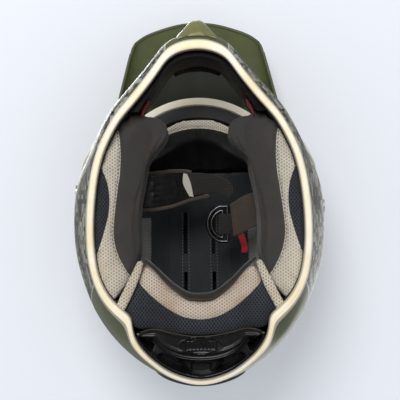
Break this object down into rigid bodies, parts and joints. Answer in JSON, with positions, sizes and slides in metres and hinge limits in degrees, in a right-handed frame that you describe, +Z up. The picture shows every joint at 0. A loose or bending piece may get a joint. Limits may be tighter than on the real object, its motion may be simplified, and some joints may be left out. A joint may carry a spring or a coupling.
{
  "type": "motocross helmet",
  "caption": "Full-face off-road helmet with a long adjustable peak, wide eye port, prow mouthpiece, pull-out cheek pads, comfort liner and a double-ring chin strap.",
  "frame": {"origin": "on the head's vertical axis, in the plane that the bottom rim rests on", "axes": "+Z up as worn; the face looks along -Y; the wearer's left is +X"},
  "size_m": [0.2519, 0.3855, 0.2787],
  "materials": {
    "shell_paint": "satin paint over a glass-fibre composite",
    "peak_plastic": "olive moulded plastic, semi-matt",
    "nose_plastic": "lighter olive painted plastic",
    "rim_rubber": "ivory rubber edging",
    "black_rubber": "soft black rubber",
    "crown_eps": "black-coated expanded polystyrene",
    "chin_lining": "satin black moulded lining over foam",
    "suede": "brushed charcoal-brown pad cloth",
    "black_mesh": "black spacer mesh",
    "pale_mesh": "pale beige spacer mesh",
    "black_plastic": "black injection-moulded plastic",
    "vent_plastic": "dark moulded plastic",
    "screw_plastic": "black nylon",
    "steel": "plated steel",
    "dark_steel": "black-plated steel",
    "red_ribbon": "red woven ribbon",
    "webbing": "grey-brown nylon webbing",
    "strap_vinyl": "black vinyl with rolled suede borders",
    "label_cloth": "plain white woven label"
  },
  "bodies": {
    "shell": {"brow_pad": "pale_mesh", "chin_foam": "chin_lining", "crown_exhaust_left": "vent_plastic", "crown_exhaust_right": "vent_plastic", "crown_foam": "crown_eps", "crown_pad": "black_mesh", "eye_port_gasket": "black_rubber", "eye_port_trim": "rim_rubber", "forehead_vent_left": "vent_plastic", "forehead_vent_right": "vent_plastic", "mouth_grille": "vent_plastic", "mouthpiece": "nose_plastic", "neck_outlet": "black_plastic", "neck_roll": "pale_mesh", "outer_shell": "shell_paint", "outlet_plaque": "black_plastic", "peak_nut_left": "steel", "peak_nut_right": "steel", "peak_spacer_left": "black_plastic", "peak_spacer_right": "black_plastic", "rear_exhaust": "vent_plastic", "rim_trim": "rim_rubber", "side_foam_left": "crown_eps", "side_foam_right": "crown_eps", "strap_rivet_left": "steel", "strap_rivet_right": "steel", "strap_root_left": "webbing", "strap_root_right": "webbing", "strap_washer_left": "steel", "strap_washer_right": "steel", "top_nut": "steel", "top_spacer": "black_plastic"},
    "peak": {"peak": "peak_plastic"},
    "peak_screw_left": {"peak_screw_left": "screw_plastic"},
    "peak_screw_right": {"peak_screw_right": "screw_plastic"},
    "top_screw": {"top_screw": "screw_plastic"},
    "cheek_pad_left": {"cheek_pad_left": "suede", "cheek_plate_left": "black_plastic", "cheek_snaps_left": "steel", "release_ribbon_left": "red_ribbon"},
    "cheek_pad_right": {"cheek_pad_right": "suede", "cheek_plate_right": "black_plastic", "cheek_snaps_right": "steel", "release_ribbon_right": "red_ribbon"},
    "strap_right": {"strap_cover_right": "strap_vinyl", "webbing_right": "webbing", "strap_label": "label_cloth", "strap_snap": "dark_steel"},
    "strap_left": {"strap_cover_left": "suede", "webbing_left": "webbing", "pull_ribbon": "red_ribbon"},
    "d_ring_outer": {"d_ring_outer": "dark_steel"},
    "d_ring_inner": {"d_ring_inner": "dark_steel"}
  },
  "joints": [
    {"name": "peak_tilt", "type": "hinge", "parent": "shell", "child": "peak", "pos_m": [0, -0.02, 0.186], "axis": [1, 0, 0], "range_deg": [-8, 5]},
    {"name": "peak_screw_left_turn", "type": "hinge", "parent": "shell", "child": "peak_screw_left", "pos_m": [0.1, -0.02, 0.186], "axis": [1, 0, 0], "continuous": true},
    {"name": "peak_screw_right_turn", "type": "hinge", "parent": "shell", "child": "peak_screw_right", "pos_m": [-0.1, -0.02, 0.186], "axis": [-1, 0, 0], "continuous": true},
    {"name": "top_screw_turn", "type": "hinge", "parent": "shell", "child": "top_screw", "pos_m": [0, -0.022, 0.27], "axis": [0, 0, 1], "continuous": true},
    {"name": "cheek_pad_left_release", "type": "slide", "parent": "shell", "child": "cheek_pad_left", "axis": [0, 0, -1], "range_m": [0, 0.12]},
    {"name": "cheek_pad_right_release", "type": "slide", "parent": "shell", "child": "cheek_pad_right", "axis": [0, 0, -1], "range_m": [0, 0.12]},
    {"name": "strap_right_swing", "type": "hinge", "parent": "shell", "child": "strap_right", "pos_m": [-0.0444, -0.025, 0.105], "axis": [0, 1, 0], "range_deg": [0, 75]},
    {"name": "strap_left_swing", "type": "hinge", "parent": "shell", "child": "strap_left", "pos_m": [0.0444, -0.007, 0.105], "axis": [0, -1, 0], "range_deg": [0, 75]},
    {"name": "d_ring_outer_swing", "type": "hinge", "parent": "strap_left", "child": "d_ring_outer", "pos_m": [0.0284, 0.01, 0.1125], "axis": [0, 1, 0], "range_deg": [-20, 20]},
    {"name": "d_ring_inner_swing", "type": "hinge", "parent": "strap_left", "child": "d_ring_inner", "pos_m": [0.0236, 0.01, 0.1125], "axis": [0, 1, 0], "range_deg": [-20, 20]}
  ]
}
